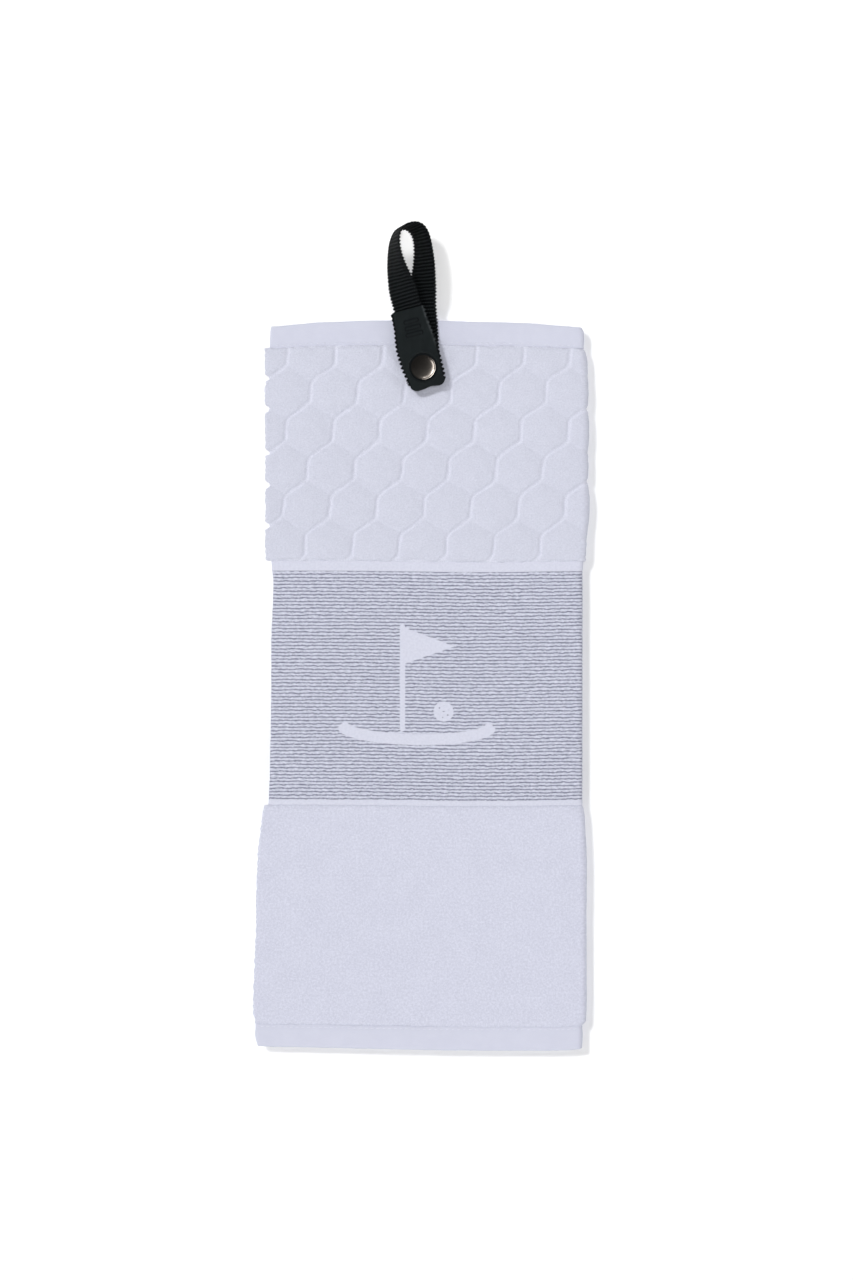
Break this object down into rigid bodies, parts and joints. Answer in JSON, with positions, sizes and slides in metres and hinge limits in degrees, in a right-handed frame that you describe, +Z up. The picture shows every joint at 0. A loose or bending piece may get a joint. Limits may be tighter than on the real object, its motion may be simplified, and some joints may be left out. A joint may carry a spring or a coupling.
{
  "type": "golf towel",
  "caption": "Tri-fold golf towel with honeycomb terry, a flat scrub band and a hemmed end, hung from a webbing strap that opens with a snap.",
  "frame": {"origin": "inside crown of the strap loop, where the towel hangs from a hook, ring or bar", "axes": "+Z up when it hangs, -Y towards the viewer of the front face, +X to that viewer's right"},
  "size_m": [0.1814, 0.0214, 0.4626],
  "materials": {
    "terry_white": "soft cotton terry and velour pile",
    "scrub_band_grey": "flat ribbed weave of grey and white yarn",
    "hem_white": "flat woven cotton, folded and sewn",
    "thread_white": "sewing thread",
    "webbing_black": "woven polyester webbing",
    "tab_rubber": "matte moulded rubber",
    "cap_gunmetal": "polished gunmetal plating",
    "snap_plated": "plated pressed metal",
    "spring_steel": "bright spring wire"
  },
  "bodies": {
    "strap": {"strap_webbing": "webbing_black", "snap_stud": "snap_plated", "snap_post": "snap_plated", "backing_washer": "snap_plated"},
    "tab": {"strap_free_end": "webbing_black", "rubber_tab": "tab_rubber", "snap_cap": "cap_gunmetal", "snap_socket": "snap_plated", "socket_spring": "spring_steel"},
    "front_panel": {"front_top_hem": "hem_white", "front_honeycomb_terry": "terry_white", "front_scrub_band": "scrub_band_grey", "front_plain_terry": "terry_white", "front_bottom_hem": "hem_white", "front_hem_stitches": "thread_white"},
    "middle_panel": {"middle_top_hem": "hem_white", "middle_honeycomb_terry": "terry_white", "middle_scrub_band": "scrub_band_grey", "middle_plain_terry": "terry_white", "middle_bottom_hem": "hem_white", "middle_hem_stitches": "thread_white"},
    "back_panel": {"back_top_hem": "hem_white", "back_honeycomb_terry": "terry_white", "back_scrub_band": "scrub_band_grey", "back_plain_terry": "terry_white", "back_bottom_hem": "hem_white", "back_hem_stitches": "thread_white"}
  },
  "joints": [
    {"name": "towel_swing", "type": "hinge", "parent": "strap", "child": "front_panel", "pos_m": [0.0083, 0, -0.0795], "axis": [0, 1, 0], "range_deg": [-25, 25]},
    {"name": "right_fold", "type": "hinge", "parent": "front_panel", "child": "middle_panel", "pos_m": [0.0967, 0.0032, -0.25], "axis": [0, 0, -1], "range_deg": [0, 178]},
    {"name": "left_fold", "type": "hinge", "parent": "middle_panel", "child": "back_panel", "pos_m": [-0.0738, 0.0066, -0.25], "axis": [0, 0, 1], "range_deg": [0, 178]},
    {"name": "snap_open", "type": "hinge", "parent": "strap", "child": "tab", "pos_m": [-0.00096, -0.0058, -0.04419], "axis": [-0.9673, 0, -0.2538], "range_deg": [0, 100]}
  ]
}
